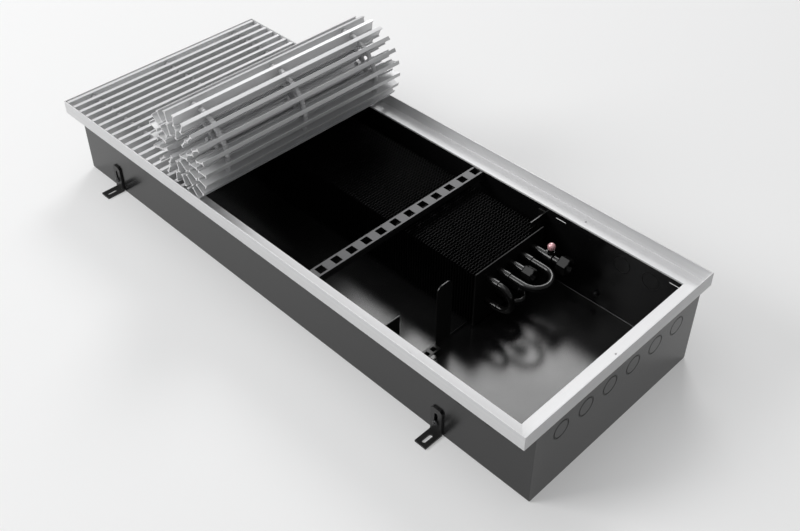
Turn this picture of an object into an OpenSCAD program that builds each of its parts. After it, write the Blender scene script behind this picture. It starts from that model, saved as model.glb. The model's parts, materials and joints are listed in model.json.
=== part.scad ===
// Trench convector heater: a sheet steel trough let into a floor, a finned water exchanger in
// it, an aluminium frame round its mouth and a grille of loose slats that rolls up on itself.
// X runs along the trench, towards the end with the pipe connections, and Z runs up.
// The origin lies on the floor, at the middle of the trough. Lengths are in millimetres.

/* [Trench] */
// Length over the frame
trench_length = 1000; // [800:10:1600]
// Width over the frame
trench_width = 400; // [380:5:520]
// Height from the floor to the top of the frame
trench_height = 150; // [145:1:180]
// Thickness of the trough's sheet steel
sheet_t = 1.5; // [1:0.1:2.5]
// How far the long walls stand in from the frame's outer face
side_inset = 25; // [20:1:30]
// How far the end walls stand in from the frame's outer face
end_inset = 1; // [0.5:0.5:1.5]
// Outer radius of the bends between floor and walls
bend_r = 3; // [2.6:0.2:6]
// Width of the rim flange that the frame lies on
rim_flange_w = 20; // [15:1:22]
// Width of the flanges that are folded in from an end wall
end_flange_w = 14; // [10:1:20]
// Cut between two folded flanges at a corner
corner_relief = 2; // [1:0.5:4]

/* [Frame] */
// Height of the frame's outer face
frame_face_h = 23.5; // [22:0.5:30]
// Thickness of the frame's upright lip
frame_lip_t = 2; // [1.5:0.1:2.5]
// Depth of the ledge below the top of the lip
ledge_drop = 20.5; // [20:0.1:21]
// Width of the frame, from its outer face to the edge of the ledge
ledge_w = 27; // [26:0.5:32]
// Diameter of the screw holes in the ledge
ledge_hole_d = 2.6; // [2:0.1:4]
// Distance of those holes from the frame's outer face
ledge_hole_in = 15; // [12:0.5:17]
// Distance of the long sides' holes from the middle of the trench
ledge_hole_x = 297; // [200:1:350]

/* [Knock-outs and slits] */
// Diameter of a knock-out, to the middle of its ring
knockout_d = 28; // [20:1:34]
// Width of the cut ring
knockout_cut = 0.9; // [0.5:0.1:1.5]
// Width of the two bridges that hold the disc
knockout_bridge = 2.5; // [1.5:0.5:5]
// Distance between neighbouring knock-outs
knockout_pitch = 50; // [40:1:55]
// Number of knock-outs in an end wall
end_knockouts = 6; // [2:2:6]
// Height of the knock-outs over the floor
knockout_z = 101; // [60:1:105]
// Distance of a long wall's first knock-out from the end wall
side_knockout_in = 75; // [60:1:120]
// Length of a slit in a long wall
slit_length = 19; // [10:1:30]
// Height of a slit
slit_h = 2.5; // [1.5:0.5:4]
// Height of the slits over the floor
slit_z = 117; // [110:1:118]
// Distance of a slit's middle from the end wall, the slit nearer the end
slit_in_a = 38; // [30:1:60]
// Distance of a slit's middle from the end wall, the slit further in
slit_in_b = 238.5; // [200:0.5:260]

/* [Cross beam] */
// Distance from the middle of the trench to the beam
beam_x = 96; // [60:1:120]
// Width of the beam
beam_w = 20; // [15:1:30]
// Depth of the beam's folded edges
beam_edge_h = 12; // [6:1:20]
// Depth of the tabs that hold the beam to the walls
beam_tab_h = 22; // [14:1:30]
// Number of square holes
beam_holes = 12; // [6:1:12]
// Side of a square hole
beam_hole = 13.5; // [8:0.5:15]
// Distance between neighbouring holes
beam_pitch = 29.3; // [20:0.1:30]
// Distance of the first hole's middle from the near end of the beam
beam_first_hole = 15.7; // [10:0.1:20]

/* [Exchanger] */
// Distance from the middle of the trench to the exchanger's end at the connections
exchanger_end = 243; // [200:1:260]
// Length of the fin pack
fin_pack_length = 663; // [400:1:680]
// Distance between neighbouring fins
fin_pitch = 5.17; // [4:0.01:12]
// Thickness of a fin
fin_t = 0.3; // [0.2:0.05:0.6]
// Width of the fins
fin_w = 152; // [140:1:160]
// Height of the fins
fin_h = 100; // [95:1:104]
// Offset of the fins' near edge from the middle of the trench
fin_y = 3; // [0:1:10]
// Height of the fins' lower edge over the floor
fin_z = 5; // [4:0.5:10]
// Thickness of the end plates
end_plate_t = 1.5; // [1:0.1:2.5]
// Height by which the end plates stand over the fins
end_plate_rise = 2; // [1:0.5:4]
// Outer diameter of a tube
tube_d = 10; // [8:0.1:11]
// Wall of a tube
tube_wall = 0.7; // [0.5:0.1:1]
// Wall of the collars that space the fins on the tubes
collar_wall = 0.35; // [0.2:0.05:0.6]
// Distance between neighbouring tubes in a row
tube_pitch = 25; // [20:0.5:26]
// Distance between two rows of tubes, a staggered row apart from each other
row_pitch = 43.3; // [38:0.1:46]
// Offset of the first tube from the fins' near edge
first_tube_in = 27; // [20:0.5:30]
// Height of the upper row of tubes over the floor
tube_row_z = 84; // [70:0.5:88]

/* [Pipework] */
// Outer diameter of a bend's socket
socket_d = 12.6; // [12:0.1:14]
// Length of a bend's socket
socket_length = 17; // [10:0.5:20]
// Straight length from the end plate to the turn of the loop
loop_reach = 46; // [40:0.5:50]
// Straight length from the end plate to the turn of the short bends
bend_reach = 25; // [22:0.5:30]
// Outer diameter of the sleeves on the two connections
sleeve_d = 12; // [11.6:0.1:13]
// Width across the flats of the return nut
return_nut_af = 18; // [17:0.5:22]
// Distance from the end plate to the return nut
return_nut_in = 27; // [24:0.5:30]
// Length of the return nut
return_nut_l = 17.5; // [14:0.5:20]
// Radius of the return nut's thread
return_thread_r = 7.2; // [7:0.05:7.6]
// Width across the flats of the supply nut
supply_nut_af = 25; // [24:0.5:30]
// Distance from the end plate to the supply nut
supply_nut_in = 53.5; // [50:0.5:60]
// Length of the supply nut
supply_nut_l = 17; // [14:0.5:20]
// Radius of the supply nut's thread
supply_thread_r = 9.3; // [9:0.05:10]
// Diameter of the body that carries the air vent
tee_d = 17; // [15:0.5:20]
// Distance from the end plate to the air vent
vent_in = 35; // [33:0.5:38]
// Height of the middle of the vent's cap over the tube
vent_rise = 20; // [19:0.5:22]
// Diameter of the vent's cap
vent_cap_d = 12.6; // [11:0.1:14]

/* [Brackets] */
// Distance of the bracket at the connections from the end of the fin pack
near_bracket_in = 12; // [8:1:30]
// Distance of the other bracket from the far end of the fin pack
far_bracket_in = 30; // [24:1:60]
// Height of a bracket's prongs over the floor
prong_top = 117.5; // [112:0.5:122]
// Width of the prongs at the walls
wall_prong_w = 35; // [20:1:40]
// Distance of the free prong from the fins
free_prong_gap = 37; // [20:1:45]
// Width of the free prong
free_prong_w = 30; // [15:1:40]
// Radius of the free prong's top corners
prong_r = 10; // [4:1:14]
// Width of the bracket's folded and punched strip
strip_w = 12; // [8:1:20]
// Height of that strip over the floor
strip_z = 10; // [6:0.5:11]
// Side of the holes in the strip
strip_hole = 8; // [4:0.5:9]
// Distance between neighbouring holes in the strip
strip_pitch = 13.4; // [11:0.1:20]
// Length of the tabs that are folded along the walls
wall_tab_l = 12; // [8:1:20]
// Height of those tabs
wall_tab_h = 20; // [10:1:30]

/* [Levelling feet] */
// Distance of the feet at the connections from the middle of the trench
foot_x_near = 340; // [250:1:400]
// Distance of the other feet from the middle of the trench
foot_x_far = 411.5; // [300:0.5:430]
// Width of a foot
foot_w = 20; // [15:1:30]
// Thickness of a foot
foot_t = 3; // [2:0.5:4]
// Reach of a foot's plate from the long wall
foot_reach = 33; // [28:1:50]
// Height of a foot's leg
foot_h = 49; // [42:1:60]
// Width of a foot's slots
foot_slot_w = 6; // [5.5:0.5:7]
// Length of the slot in the plate
plate_slot_l = 18; // [10:1:20]
// Length of the slot in the leg
leg_slot_l = 22; // [16:1:26]
// Height of the leg slot's lower end over the floor
leg_slot_z = 18; // [14:1:20]
// Height of the foot screws over the floor
foot_screw_z = 22; // [21:0.5:23]
// Diameter of the foot screws
foot_screw_d = 5; // [4:0.5:5]
// Diameter of the foot screws' heads
foot_head_d = 9.5; // [8:0.5:12]

/* [Roll-up grille] */
// Distance between neighbouring slats
slat_pitch = 19; // [17:0.1:20]
// Height of a slat
slat_h = 19; // [16:0.5:19.5]
// Width of a slat's flanges
slat_flange_w = 6.5; // [5:0.1:7]
// Thickness of a slat's flanges
slat_flange_t = 1.7; // [1.2:0.1:2.2]
// Thickness of a slat's web
slat_web_t = 1.8; // [1.2:0.1:2.2]
// Gap between a slat's end and the frame's lip
slat_end_gap = 1; // [0.5:0.1:2]
// Least distance of the outermost slats from the frame's lip
grille_end_room = 20; // [14:0.5:23]
// Distance between neighbouring rows of spacers
spacer_row_pitch = 150; // [100:1:150]
// Diameter of a spacer
spacer_d = 9; // [7:0.1:10]
// Number of slats in the roll
rolled_slats = 35; // [20:1:35]
// Radius of the roll at its innermost slat
roll_core_r = 21.5; // [21:0.5:26]
// Gap between two layers of the roll
roll_gap = 2.3; // [2:0.1:4]
// Angle, in degrees, by which every rolled slat is eased, so that the first one lifts gently
roll_ease = 9; // [7:0.5:10]

/* [Hidden] */
$fn = 48;
// Overrun of every cut past the faces that it opens
over = 1;
// Gap between pieces that rest on each other but come apart
seat_gap = 0.3;
// Radial clearance of a running fit
fit_gap = 0.05;

// Heights and places of the trough's and the frame's faces
half_l = trench_length / 2;
half_w = trench_width / 2;
wall_top = trench_height - frame_face_h;
ledge_z = trench_height - ledge_drop;
side_y = half_w - side_inset;
side_in_y = side_y - sheet_t;
end_x = half_l - end_inset;
end_in_x = end_x - sheet_t;

// The exchanger: fins, tubes and the faces of its end plates
fin_pack_x = exchanger_end - fin_pack_length;
fins = floor((fin_pack_length - fin_t) / fin_pitch) + 1;
fin_step = (fin_pack_length - fin_t) / (fins - 1);
fin_far_y = fin_y + fin_w;
fin_top = fin_z + fin_h;
near_face_x = exchanger_end + end_plate_t;
far_face_x = fin_pack_x - end_plate_t;
tube_r = tube_d / 2;
tube_in_r = tube_r - tube_wall;
tube_hole_r = tube_r + fit_gap;
first_tube_y = fin_y + first_tube_in;
low_row_z = tube_row_z - row_pitch;
// The circuit's tubes, as columns from the fins' near edge and rows from the top
tube_grid = [[0, 0], [1, 0], [2, 0], [3, 0], [4, 0], [0, 1], [1, 1], [2, 1]];
function tube_at(g) = [first_tube_y + g[0] * tube_pitch, tube_row_z - g[1] * row_pitch];
return_at = tube_at([2, 0]);
supply_at = tube_at([4, 0]);
// Length of the tubes' ends outside the end plates
tube_reach = 14;
socket_start = 4;

// The two connections: sleeve, captive collar and nut
sleeve_start = 9.5;
nut_back = 2.6;
nut_seat = 2.4;
seat_step = 0.3;
collar_gap = 0.1;
tee_start = 26.5;
tee_length = 14;
vent_boss_d = 11;
vent_boss_rise = 10.5;
vent_hex_af = 10;
vent_hex_h = 3.5;
vent_neck_d = 6;
cap_cut = 5;
cap_depth = 0.5;

// The brackets' clearances beside and above the fins
fin_side_gap = 1.5;
strip_margin = 2.5;

// The feet and their screws
foot_gap = 0.2;
foot_chamfer = 4;
plate_slot_in = 5;
foot_head_h = 3;
foot_nut_af = 8;
foot_nut_h = 4;
screw_hole_gap = 0.2;
foot_y = side_y + foot_gap;
foot_out_y = side_y + foot_reach;

// Slats: places across and along the trench
slat_length = trench_width - 2 * (frame_lip_t + slat_end_gap);
grille_length = trench_length - 2 * (frame_lip_t + grille_end_room);
slats = floor(grille_length / slat_pitch) + 1;
laid_slats = slats - rolled_slats;
first_slat_x = -(slats - 1) * slat_pitch / 2;
slat_mid_z = ledge_z + seat_gap + slat_h / 2;
half_pitch = slat_pitch / 2;
// Spacers: a ball on one side and a cup on the other, shares of the spacer's radius
spacer_rows = 3;
spacer_r = spacer_d / 2;
ball_share = 0.89;
neck_share = 0.73;
shoulder_share = 0.71;
cup_lip_share = 0.33;
ball_r = ball_share * spacer_r;
cup_r = ball_r + seat_gap;
neck_r = neck_share * spacer_r;
shoulder = shoulder_share * spacer_r;
cup_lip = cup_lip_share * spacer_r;

// The roll is a spiral whose radius falls by one layer in each turn
roll_layer = slat_h + roll_gap;
roll_fall = roll_layer / (2 * PI);
roll_length = rolled_slats * slat_pitch;
roll_start_r = sqrt(pow(roll_core_r, 2) + 2 * roll_fall * roll_length);
function roll_left_r(s) = sqrt(pow(roll_start_r, 2) - 2 * roll_fall * s);
function roll_turn(s) = (roll_start_r - roll_left_r(s)) / roll_fall * 180 / PI;
// Tilt of rolled slat n, counted from 1, and of the last laid slat, number 0
function tilt(n) = n == 0 ? 0 : roll_turn(n * slat_pitch) - roll_ease;
function heading(n) = [cos(tilt(n)), sin(tilt(n))];
last_laid = [first_slat_x + (laid_slats - 1) * slat_pitch, slat_mid_z];
// Middle of rolled slat n, half a pitch from the hinge lines on either side of it
function slat_at(n) = n == 0 ? last_laid : slat_at(n - 1) + half_pitch * (heading(n - 1) + heading(n));
function slat_name(n) = str("slat_", n);

FIXED_NODES = [
  "trough", "end_wall_near", "end_wall_far", "frame_sides", "frame_ends", "cross_beam",
  "brackets", "fin_pack", "end_plates", "core_tubes", "loop_bend", "near_bends", "far_bends",
  "return_tail", "return_nut", "supply_tee", "supply_nut", "vent_valve", "vent_cap",
  "foot_near_left", "foot_near_right", "foot_far_left", "foot_far_right", "foot_screws",
  "laid_grille"
];

steel_black = [0.16, 0.16, 0.165];
steel_grey = [0.48, 0.48, 0.48];
anodised = [0.82, 0.82, 0.82];
fin_black = [0.05, 0.05, 0.05];
pipe_black = [0.09, 0.09, 0.09];
cap_red = [0.85, 0.35, 0.4];

// A cylinder that lies along the trench
module rod(r, h) {
  rotate([0, 90, 0]) cylinder(r = r, h = h);
}

// A hexagon that lies along the trench, a corner upwards
module hex_rod(af, h) {
  rotate([0, 90, 0]) cylinder(r = af / 2 / cos(30), h = h, $fn = 6);
}

// Outline of the trough's section: square above, rounded at its two lower corners
module round_floor(half, low, high, r) {
  translate([-half, low + r]) square([2 * half, high - low - r]);
  translate([r - half, low]) square([2 * (half - r), r]);
  for (side = [-1, 1]) translate([side * (half - r), low + r]) circle(r = r);
}

// Ring that is cut round a knock-out, open at its two bridges, as a tool along Z
module knockout_cutter() {
  difference() {
    cylinder(r = (knockout_d + knockout_cut) / 2, h = sheet_t + 2 * over);
    translate([0, 0, -over]) cylinder(r = (knockout_d - knockout_cut) / 2, h = sheet_t + 4 * over);
    rotate([0, 0, 45]) translate([-knockout_d, -knockout_bridge / 2, -over])
      cube([2 * knockout_d, knockout_bridge, sheet_t + 4 * over]);
  }
}

// Floor, long walls and rim flanges, folded from one sheet
module trough() {
  color(steel_black)
  difference() {
    translate([-end_x, 0, 0]) rotate([90, 0, 90]) linear_extrude(2 * end_x) {
      difference() {
        round_floor(side_y, 0, wall_top, bend_r);
        round_floor(side_in_y, sheet_t, wall_top + over, bend_r - sheet_t);
      }
      for (y = [side_in_y, -side_y - rim_flange_w])
        translate([y, wall_top - sheet_t]) square([sheet_t + rim_flange_w, sheet_t]);
    }
    for (side = [0, 1]) mirror([0, side, 0]) side_wall_cuts();
  }
}

// Knock-outs, slits and screw holes of the long wall on the far side
module side_wall_cuts() {
  for (i = [0, 1])
    translate([end_x - side_knockout_in - i * knockout_pitch, side_y + over, knockout_z])
      rotate([90, 0, 0]) knockout_cutter();
  for (in = [slit_in_a, slit_in_b])
    translate([end_x - in - slit_length / 2, side_in_y - over, slit_z - slit_h / 2])
      cube([slit_length, sheet_t + 2 * over, slit_h]);
  for (x = [foot_x_near, -foot_x_far])
    translate([x, side_y + over, foot_screw_z]) rotate([90, 0, 0])
      cylinder(r = foot_screw_d / 2 + screw_hole_gap, h = sheet_t + 2 * over);
}

// Wall across one end, with four flanges folded inwards
module end_wall() {
  low = sheet_t + bend_r;
  high = wall_top - sheet_t - corner_relief;
  flange_half = side_in_y - sheet_t - corner_relief;
  difference() {
    translate([end_in_x, 0, 0]) rotate([90, 0, 90]) linear_extrude(sheet_t)
      round_floor(side_in_y, sheet_t, wall_top, bend_r);
    for (i = [0 : end_knockouts - 1])
      translate([end_in_x - over, (i - (end_knockouts - 1) / 2) * knockout_pitch, knockout_z])
        rotate([90, 0, 90]) knockout_cutter();
  }
  for (z = [sheet_t, wall_top - sheet_t])
    translate([end_in_x - end_flange_w, -flange_half, z])
      cube([end_flange_w, 2 * flange_half, sheet_t]);
  for (side = [0, 1]) mirror([0, side, 0])
    translate([end_in_x - end_flange_w, side_in_y - sheet_t, low])
      cube([end_flange_w, sheet_t, high - low]);
}

module end_wall_near() {
  color(steel_black) end_wall();
}

module end_wall_far() {
  color(steel_black) mirror([1, 0, 0]) end_wall();
}

// Frame section: an upright lip with a ledge inwards from its foot
module frame_section() {
  translate([0, wall_top]) square([ledge_w, ledge_z - wall_top]);
  translate([0, wall_top]) square([frame_lip_t, frame_face_h]);
}

// One side of the frame, mitred at both ends, its outer face on the plane y = -inset
module frame_bar(length, inset) {
  reach = length / 2;
  inner = reach - ledge_w;
  translate([0, -inset, 0]) intersection() {
    translate([-reach, 0, 0]) rotate([90, 0, 90]) linear_extrude(length) frame_section();
    translate([0, 0, -over]) linear_extrude(trench_height + 2 * over)
      polygon([[-reach - over, -over], [reach + over, -over],
               [inner - over, ledge_w + over], [over - inner, ledge_w + over]]);
  }
}

// Screw hole through the ledge and the flange under it
module ledge_hole(x, y) {
  translate([x, y, wall_top - over])
    cylinder(r = ledge_hole_d / 2, h = ledge_z - wall_top + 2 * over);
}

module frame_sides() {
  color(anodised)
  for (side = [0, 1]) mirror([0, side, 0]) difference() {
    frame_bar(trench_length, half_w);
    for (x = [-ledge_hole_x, ledge_hole_x]) ledge_hole(x, ledge_hole_in - half_w);
  }
}

module frame_ends() {
  color(anodised)
  for (turn = [90, -90]) rotate([0, 0, turn]) difference() {
    frame_bar(trench_width, half_l);
    ledge_hole(0, ledge_hole_in - half_l);
  }
}

// Punched channel across the trough, hung between the long walls
module cross_beam() {
  color(steel_grey)
  translate([beam_x - beam_w / 2, 0, 0]) difference() {
    union() {
      translate([0, -side_in_y, wall_top - beam_edge_h]) cube([beam_w, 2 * side_in_y, beam_edge_h]);
      for (side = [0, 1]) mirror([0, side, 0])
        translate([0, side_in_y - sheet_t, wall_top - beam_tab_h])
          cube([beam_w, sheet_t, beam_tab_h]);
    }
    translate([sheet_t, sheet_t - side_in_y, wall_top - beam_tab_h - over])
      cube([beam_w - 2 * sheet_t, 2 * (side_in_y - sheet_t), beam_tab_h + over - sheet_t]);
    for (i = [0 : beam_holes - 1])
      translate([(beam_w - beam_hole) / 2,
                 beam_first_hole + i * beam_pitch - beam_hole / 2 - side_in_y, wall_top - sheet_t - over])
        cube([beam_hole, beam_hole, sheet_t + 2 * over]);
  }
}

// Outline of a bracket, looking along the trench: prongs at both walls, a free prong beside
// the fins, a low web between them, and a hook over the fins' far edge
module bracket_outline() {
  free_y = fin_y - free_prong_gap - free_prong_w;
  translate([-side_in_y, sheet_t]) square([wall_prong_w, prong_top - sheet_t]);
  translate([-side_in_y, sheet_t]) square([side_in_y + free_y + prong_r, strip_z - sheet_t]);
  translate([free_y, sheet_t]) square([free_prong_w, prong_top - prong_r - sheet_t]);
  translate([free_y + prong_r, prong_top - prong_r]) square([free_prong_w - 2 * prong_r, prong_r]);
  for (y = [free_y + prong_r, free_y + free_prong_w - prong_r])
    translate([y, prong_top - prong_r]) circle(r = prong_r);
  translate([free_y, sheet_t]) square([side_in_y - free_y, fin_z - sheet_t]);
  translate([fin_far_y + fin_side_gap, sheet_t])
    square([side_in_y - fin_far_y - fin_side_gap, prong_top - sheet_t]);
  translate([side_in_y - wall_prong_w, fin_top + fin_side_gap])
    square([wall_prong_w, prong_top - fin_top - fin_side_gap]);
}

// Strip that is folded out from the web, with its row of holes
module bracket_strip() {
  start_y = wall_prong_w - side_in_y + strip_margin;
  end_y = fin_y - free_prong_gap - free_prong_w - strip_margin;
  holes = floor((end_y - start_y - strip_hole) / strip_pitch);
  difference() {
    translate([0, start_y, strip_z - sheet_t]) cube([sheet_t + strip_w, end_y - start_y, sheet_t]);
    for (i = [0 : holes])
      translate([sheet_t + (strip_w - strip_hole) / 2,
                 start_y + strip_margin + i * strip_pitch, strip_z - sheet_t - over])
        cube([strip_hole, strip_hole, sheet_t + 2 * over]);
  }
}

// Bracket that the exchanger lies in, its strip towards the exchanger's end
module bracket() {
  rotate([90, 0, 90]) linear_extrude(sheet_t) bracket_outline();
  bracket_strip();
  for (side = [0, 1]) mirror([0, side, 0])
    translate([-wall_tab_l, side_in_y - sheet_t, prong_top - wall_tab_h])
      cube([wall_tab_l + sheet_t, sheet_t, wall_tab_h]);
}

module brackets() {
  color(steel_black) {
    translate([exchanger_end - near_bracket_in, 0, 0]) bracket();
    translate([fin_pack_x + far_bracket_in, 0, 0]) mirror([1, 0, 0]) bracket();
  }
}

// Fins with the drawn collars that space them on the tubes
module fin_pack() {
  color(fin_black)
  difference() {
    union() {
      for (i = [0 : fins - 1])
        translate([fin_pack_x + i * fin_step, fin_y, fin_z]) cube([fin_t, fin_w, fin_h]);
      for (g = tube_grid)
        translate([fin_pack_x, tube_at(g)[0], tube_at(g)[1]])
          rod(tube_hole_r + collar_wall, fin_pack_length);
    }
    for (g = tube_grid)
      translate([fin_pack_x - over, tube_at(g)[0], tube_at(g)[1]])
        rod(tube_hole_r, fin_pack_length + 2 * over);
  }
}

module end_plates() {
  color(fin_black)
  for (x = [exchanger_end, far_face_x]) difference() {
    translate([x, fin_y, fin_z]) cube([end_plate_t, fin_w, fin_h + end_plate_rise]);
    for (g = tube_grid)
      translate([x - over, tube_at(g)[0], tube_at(g)[1]]) rod(tube_hole_r, end_plate_t + 2 * over);
  }
}

module core_tubes() {
  color(pipe_black)
  for (g = tube_grid)
    translate([far_face_x - tube_reach, tube_at(g)[0], tube_at(g)[1]]) difference() {
      rod(tube_r, near_face_x - far_face_x + 2 * tube_reach);
      translate([-over, 0, 0])
        rod(tube_in_r, near_face_x - far_face_x + 2 * (tube_reach + over));
    }
}

// Half turn of round stock of radius r, bent at radius bend, opening towards -X
module half_turn(bend, r) {
  rotate([0, 0, -90]) rotate_extrude(angle = 180) translate([bend, 0]) circle(r = r);
}

// Return bend in the plane z = 0 that joins two tubes on either side of y = 0. It starts at
// the end plate, x = 0, with a socket over each tube, and turns at x = reach.
module return_bend(spacing, reach) {
  bend = spacing / 2;
  difference() {
    union() {
      for (side = [-1, 1]) translate([socket_start, side * bend, 0]) {
        rod(socket_d / 2, socket_length);
        rod(tube_r, reach - socket_start);
      }
      translate([reach, 0, 0]) half_turn(bend, tube_r);
    }
    for (side = [-1, 1]) translate([0, side * bend, 0]) {
      rod(tube_hole_r, tube_reach + fit_gap);
      rod(tube_in_r, reach);
    }
    translate([reach, 0, 0]) half_turn(bend, tube_in_r);
  }
}

// Return bend between two tubes of the grid that lie in one row or in one column
module bend_between(a, b, reach) {
  from = tube_at(a);
  to = tube_at(b);
  spacing = abs(from[0] - to[0]) + abs(from[1] - to[1]);
  turn = from[0] == to[0] ? 90 : 0;
  translate([0, (from[0] + to[0]) / 2, (from[1] + to[1]) / 2])
    rotate([turn, 0, 0]) return_bend(spacing, reach);
}

module loop_bend() {
  color(pipe_black) translate([near_face_x, 0, 0]) bend_between([1, 0], [3, 0], loop_reach);
}

module near_bends() {
  color(pipe_black) translate([near_face_x, 0, 0]) {
    bend_between([0, 0], [0, 1], bend_reach);
    bend_between([1, 1], [2, 1], bend_reach);
  }
}

module far_bends() {
  color(pipe_black) translate([far_face_x, 0, 0]) mirror([1, 0, 0]) {
    bend_between([4, 0], [3, 0], bend_reach);
    bend_between([1, 0], [0, 0], bend_reach);
    bend_between([0, 1], [1, 1], bend_reach);
    bend_between([2, 1], [2, 0], bend_reach);
  }
}

// Tail of a connection: sleeve over the tube, and the collar that keeps its nut
module tail(nut_in, thread_r) {
  translate([sleeve_start, 0, 0]) rod(sleeve_d / 2, nut_in + nut_back + nut_seat / 2 - sleeve_start);
  translate([nut_in + nut_back + collar_gap, 0, 0])
    rod(thread_r - seat_step - fit_gap, nut_seat - 2 * collar_gap);
}

// Bore of a connection, with the counterbore that takes the tube's end
module tail_bore(nut_in) {
  rod(tube_in_r, nut_in + nut_back + nut_seat + over);
  rod(tube_hole_r, tube_reach + fit_gap);
}

// Union nut: back wall round the sleeve, seat of the collar, and the thread
module union_nut(nut_in, af, length, thread_r) {
  translate([nut_in, 0, 0]) difference() {
    hex_rod(af, length);
    translate([-over, 0, 0]) rod(sleeve_d / 2 + fit_gap, nut_back + 2 * over);
    translate([nut_back, 0, 0]) rod(thread_r - seat_step, nut_seat + over);
    translate([nut_back + nut_seat, 0, 0]) rod(thread_r, length - nut_back - nut_seat + over);
  }
}

module at_return() {
  translate([near_face_x, return_at[0], return_at[1]]) children();
}

module at_supply() {
  translate([near_face_x, supply_at[0], supply_at[1]]) children();
}

module return_tail() {
  color(pipe_black) at_return() difference() {
    tail(return_nut_in, return_thread_r);
    tail_bore(return_nut_in);
  }
}

module return_nut() {
  color(pipe_black) at_return()
    union_nut(return_nut_in, return_nut_af, return_nut_l, return_thread_r);
}

module supply_tee() {
  color(pipe_black) at_supply() difference() {
    union() {
      tail(supply_nut_in, supply_thread_r);
      translate([tee_start, 0, 0]) rod(tee_d / 2, tee_length);
      translate([vent_in, 0, 0]) cylinder(r = vent_boss_d / 2, h = vent_boss_rise);
    }
    tail_bore(supply_nut_in);
    translate([vent_in, 0, 0]) cylinder(r = vent_neck_d / 4, h = vent_boss_rise + over);
  }
}

module supply_nut() {
  color(pipe_black) at_supply()
    union_nut(supply_nut_in, supply_nut_af, supply_nut_l, supply_thread_r);
}

module vent_valve() {
  color(pipe_black) at_supply() translate([vent_in, 0, vent_boss_rise]) {
    cylinder(r = vent_hex_af / 2 / cos(30), h = vent_hex_h, $fn = 6);
    cylinder(r = vent_neck_d / 2, h = vent_rise - vent_boss_rise);
  }
}

// Ball-shaped cap on the vent's neck, flat underneath
module vent_cap() {
  color(cap_red) at_supply() translate([vent_in, 0, vent_rise]) difference() {
    sphere(r = vent_cap_d / 2);
    translate([-vent_cap_d, -vent_cap_d, -vent_cap_d - cap_cut])
      cube([2 * vent_cap_d, 2 * vent_cap_d, vent_cap_d]);
    translate([0, 0, -vent_cap_d]) cylinder(r = vent_neck_d / 2 + fit_gap, h = vent_cap_d + cap_depth);
  }
}

// Slot along X, length from end to end, as a tool of height h
module slot_cutter(length, width, h) {
  run = length - width;
  translate([-run / 2, -width / 2, 0]) cube([run, width, h]);
  for (side = [-1, 1]) translate([side * run / 2, 0, 0]) cylinder(r = width / 2, h = h);
}

// Angle foot for the far long wall: slotted leg beside the wall, slotted plate on the floor
module foot() {
  plate_mid_y = foot_out_y - plate_slot_in - plate_slot_l / 2;
  half = foot_w / 2;
  difference() {
    union() {
      translate([-half, foot_y, 0]) cube([foot_w, foot_out_y - foot_y, foot_t]);
      translate([0, foot_y + foot_t, 0]) rotate([90, 0, 0]) linear_extrude(foot_t)
        polygon([[-half, 0], [half, 0], [half, foot_h - foot_chamfer], [half - foot_chamfer, foot_h],
                 [foot_chamfer - half, foot_h], [-half, foot_h - foot_chamfer]]);
    }
    translate([0, plate_mid_y, -over]) rotate([0, 0, 90])
      slot_cutter(plate_slot_l, foot_slot_w, foot_t + 2 * over);
    translate([0, foot_y + foot_t + over, leg_slot_z + leg_slot_l / 2]) rotate([90, 90, 0])
      slot_cutter(leg_slot_l, foot_slot_w, foot_t + 2 * over);
  }
}

module foot_near_left() {
  color(steel_black) translate([foot_x_near, 0, 0]) mirror([0, 1, 0]) foot();
}

module foot_near_right() {
  color(steel_black) translate([foot_x_near, 0, 0]) foot();
}

module foot_far_left() {
  color(steel_black) translate([-foot_x_far, 0, 0]) mirror([0, 1, 0]) foot();
}

module foot_far_right() {
  color(steel_black) translate([-foot_x_far, 0, 0]) foot();
}

// Screw through a foot and the far long wall, with its nut on the inside
module foot_screw() {
  head_y = foot_y + foot_t + foot_gap;
  shank_l = head_y - side_in_y + foot_nut_h + over;
  translate([0, head_y + foot_head_h, 0]) rotate([90, 0, 0])
    cylinder(r = foot_head_d / 2, h = foot_head_h);
  translate([0, head_y, 0]) rotate([90, 0, 0]) cylinder(r = foot_screw_d / 2, h = shank_l);
}

module foot_nut() {
  translate([0, side_in_y, 0]) rotate([90, 0, 0]) difference() {
    cylinder(r = foot_nut_af / 2 / cos(30), h = foot_nut_h, $fn = 6);
    translate([0, 0, -over]) cylinder(r = foot_screw_d / 2 + fit_gap, h = foot_nut_h + 2 * over);
  }
}

module foot_screws() {
  color(steel_grey)
  for (side = [0, 1], x = [foot_x_near, -foot_x_far])
    mirror([0, side, 0]) translate([x, 0, foot_screw_z]) {
      foot_screw();
      foot_nut();
    }
}

// Double-T section of a slat round its middle
module slat_section() {
  for (side = [0, 1]) mirror([0, side])
    translate([-slat_flange_w / 2, slat_h / 2 - slat_flange_t]) square([slat_flange_w, slat_flange_t]);
  translate([-slat_web_t / 2, -slat_h / 2]) square([slat_web_t, slat_h]);
}

function spacer_y(row) = (row - (spacer_rows - 1) / 2) * spacer_row_pitch;

module slat() {
  difference() {
    translate([0, slat_length / 2, 0]) rotate([90, 0, 0]) linear_extrude(slat_length) slat_section();
    for (row = [0 : spacer_rows - 1])
      translate([-slat_web_t, spacer_y(row), 0]) rod(spacer_r + fit_gap, 2 * slat_web_t);
  }
}

// Spacer through a slat's web: a cup towards the slat before, a ball towards the next one
module spacer() {
  rotate([0, 90, 0]) rotate_extrude() difference() {
    union() {
      translate([0, cup_lip - half_pitch]) square([spacer_r, 2 * half_pitch - cup_lip - shoulder]);
      translate([0, half_pitch - shoulder]) square([neck_r, shoulder]);
      intersection() {
        translate([0, half_pitch]) circle(r = ball_r);
        translate([0, half_pitch - ball_r]) square([ball_r, 2 * ball_r]);
      }
    }
    translate([0, -half_pitch]) circle(r = cup_r);
  }
}

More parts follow.
